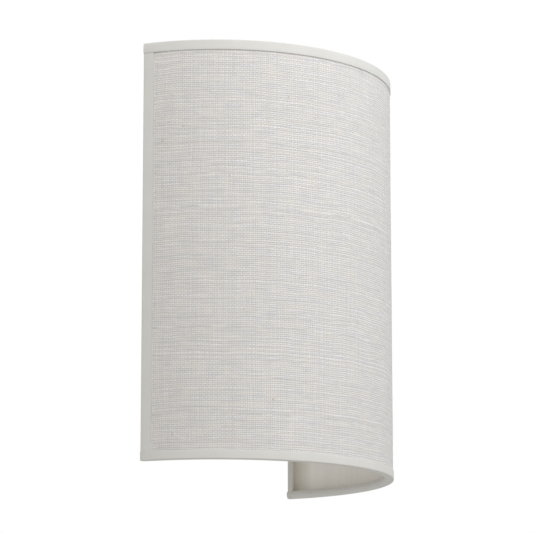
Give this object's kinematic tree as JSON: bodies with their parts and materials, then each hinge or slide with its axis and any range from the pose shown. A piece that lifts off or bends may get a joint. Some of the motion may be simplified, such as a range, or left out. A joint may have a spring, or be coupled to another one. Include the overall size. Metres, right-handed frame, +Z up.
{
  "type": "wall light",
  "caption": "Half-round wall light: a taped linen half-cylinder shade, open above and below, hung on a pressed wall plate over an upright screw lampholder and bulb.",
  "frame": {"origin": "middle of the wall plate's back face, on the wall, at half the shade's height", "axes": "+Z up, +Y into the wall, the room towards -Y, +X to the right when facing the wall"},
  "size_m": [0.24, 0.12, 0.28],
  "materials": {
    "linen": "woven, matt",
    "liner": "matt film",
    "frame_wire": "white coated",
    "trim_tape": "smooth ribbon",
    "white_enamel": "powder coated",
    "grommet_rubber": "matt",
    "clear_nylon": "semi-matt",
    "brass": "plated",
    "zinc_steel": "zinc plated",
    "tinned_copper": "tinned",
    "holder_white": "satin",
    "holder_core": "unglazed",
    "brown_lead": "smooth",
    "blue_lead": "smooth",
    "earth_lead": "smooth, striped",
    "bulb_metal": "plated",
    "bulb_insulator": "dark vitrite",
    "bulb_white": "satin",
    "opal": "opal satin",
    "board": "solder resist"
  },
  "bodies": {
    "wall_fitting": {"wall_plate": "white_enamel", "lampholder_bracket": "white_enamel", "cable_grommet": "grommet_rubber", "terminal_block": "clear_nylon", "terminal_barrels": "brass", "holder_terminals": "brass", "lampholder_shell": "brass", "centre_contact": "brass", "side_contact": "brass", "terminal_screws": "zinc_steel", "terminal_fixing_screws": "zinc_steel", "earth_washer": "zinc_steel", "earth_screw": "zinc_steel", "bracket_screws": "zinc_steel", "bracket_nuts": "zinc_steel", "threaded_nipple": "zinc_steel", "nipple_nut": "zinc_steel", "toothed_washer": "zinc_steel", "holder_terminal_screws": "zinc_steel", "ring_terminal": "tinned_copper", "lampholder_cap": "holder_white", "lampholder_body": "holder_white", "lampholder_core": "holder_core", "live_lead": "brown_lead", "neutral_lead": "blue_lead", "earth_lead": "earth_lead"},
    "shade": {"shade_fabric": "linen", "shade_liner": "liner", "top_ring": "frame_wire", "bottom_ring": "frame_wire", "left_upright": "frame_wire", "right_upright": "frame_wire", "hanging_bar": "frame_wire", "top_tape": "trim_tape", "bottom_tape": "trim_tape", "left_tape": "trim_tape", "right_tape": "trim_tape"},
    "bulb_contact": {"bulb_end_contact": "bulb_metal", "bulb_cap_insulator": "bulb_insulator"},
    "bulb": {"bulb_cap": "bulb_metal", "bulb_housing": "bulb_white", "bulb_globe": "opal", "led_board": "board", "driver_board": "board"}
  },
  "joints": [
    {"name": "shade_lift", "type": "slide", "parent": "wall_fitting", "child": "shade", "axis": [0, 0, 1], "range_m": [0, 0.25]},
    {"name": "bulb_rise", "type": "slide", "parent": "wall_fitting", "child": "bulb_contact", "axis": [0, 0, 1], "range_m": [0, 0.0145]},
    {"name": "bulb_turn", "type": "hinge", "parent": "bulb_contact", "child": "bulb", "pos_m": [0, -0.06, 0], "axis": [0, 0, 1], "range_deg": [0, 1440]}
  ],
  "couplings": [
    {"joint": "bulb_rise", "follows": "bulb_turn", "m_per_rad": 0.00057614}
  ]
}
